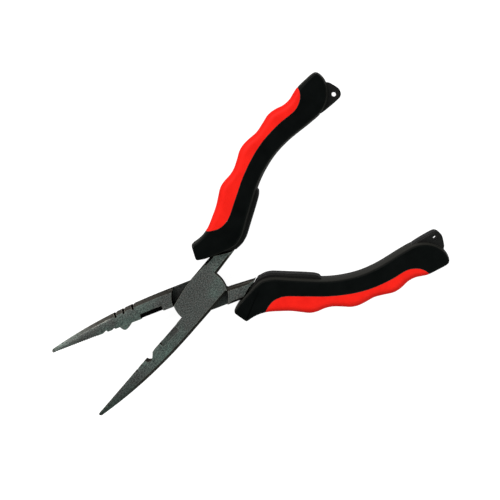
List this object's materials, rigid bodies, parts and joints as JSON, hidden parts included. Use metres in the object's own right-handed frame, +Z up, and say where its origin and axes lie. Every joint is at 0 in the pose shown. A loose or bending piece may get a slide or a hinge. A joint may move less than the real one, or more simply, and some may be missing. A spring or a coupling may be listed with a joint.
{
  "type": "fishing pliers",
  "caption": "Long-nose fishing pliers with side cutters, a crimping notch, toothed tips and cushioned black and red handles on a lapped pivot.",
  "frame": {"origin": "centre of the open tool's box, on the flat surface that it lies on", "axes": "+X from the jaw tips to the handles midway between them, +Y towards the front lever's handle, +Z up along the pivot"},
  "size_m": [0.1947, 0.1136, 0.018],
  "materials": {
    "dark_steel": "fine blasted and darkened forged steel",
    "rivet_steel": "plain ground steel",
    "core_plastic": "black moulded plastic with a slight sparkle",
    "black_rubber": "matte black moulded rubber",
    "red_rubber": "soft satin red rubber"
  },
  "bodies": {
    "front": {"front_lever": "dark_steel", "pivot_rivet": "rivet_steel", "front_grip_core": "core_plastic", "front_finger_pad": "red_rubber", "front_grip_shell_top": "black_rubber", "front_grip_shell_bottom": "black_rubber"},
    "rear": {"rear_lever": "dark_steel", "rear_grip_core": "core_plastic", "rear_finger_pad": "red_rubber", "rear_grip_shell_top": "black_rubber", "rear_grip_shell_bottom": "black_rubber"}
  },
  "joints": [
    {"name": "pivot", "type": "hinge", "parent": "front", "child": "rear", "pos_m": [-0.01755, 0, 0.009], "axis": [0, 0, 1], "range_deg": [-17.5, 27.45]}
  ]
}
